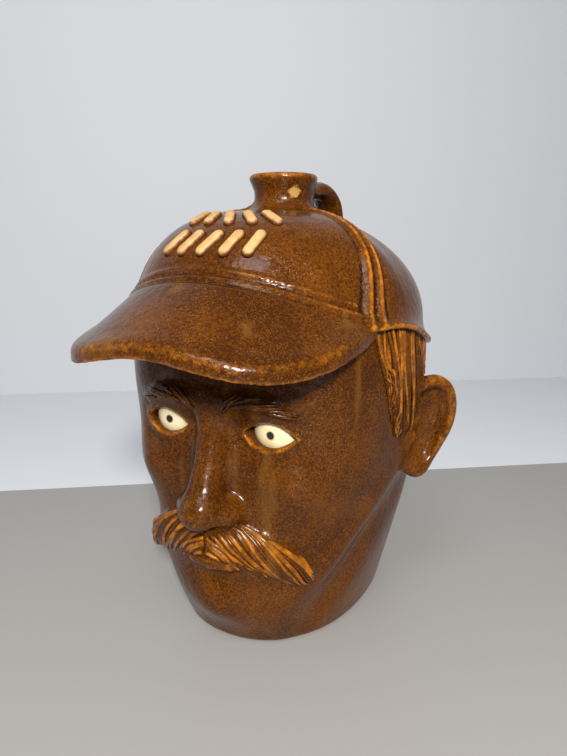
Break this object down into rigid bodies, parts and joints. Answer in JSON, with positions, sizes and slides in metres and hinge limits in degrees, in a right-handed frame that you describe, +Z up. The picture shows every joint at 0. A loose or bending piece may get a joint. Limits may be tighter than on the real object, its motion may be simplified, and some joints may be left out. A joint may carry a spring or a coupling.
{
  "type": "face jug",
  "caption": "Hollow stoneware face jug: a head in a peaked cap with a moustache, a narrow flared neck and a small ring handle behind it.",
  "frame": {"origin": "on the flat underside, straight below the middle of the neck", "axes": "+Z up along the neck's axis, -Y the way the face looks, +X towards the head's left ear"},
  "size_m": [0.2162, 0.2321, 0.27],
  "materials": {
    "brown_glaze": "glossy iron-brown stoneware glaze, breaking to orange on edges and speckled all over",
    "pale_clay": "bare pale fired clay, matt, with a dry wipe of brown at its edges"
  },
  "bodies": {
    "root": {"jug_body": "brown_glaze", "left_eyeball": "pale_clay", "right_eyeball": "pale_clay", "upper_stroke_1": "pale_clay", "upper_stroke_2": "pale_clay", "upper_stroke_3": "pale_clay", "upper_stroke_4": "pale_clay", "upper_stroke_5": "pale_clay", "lower_stroke_1": "pale_clay", "lower_stroke_2": "pale_clay", "lower_stroke_3": "pale_clay", "lower_stroke_4": "pale_clay", "lower_stroke_5": "pale_clay"}
  },
  "joints": []
}
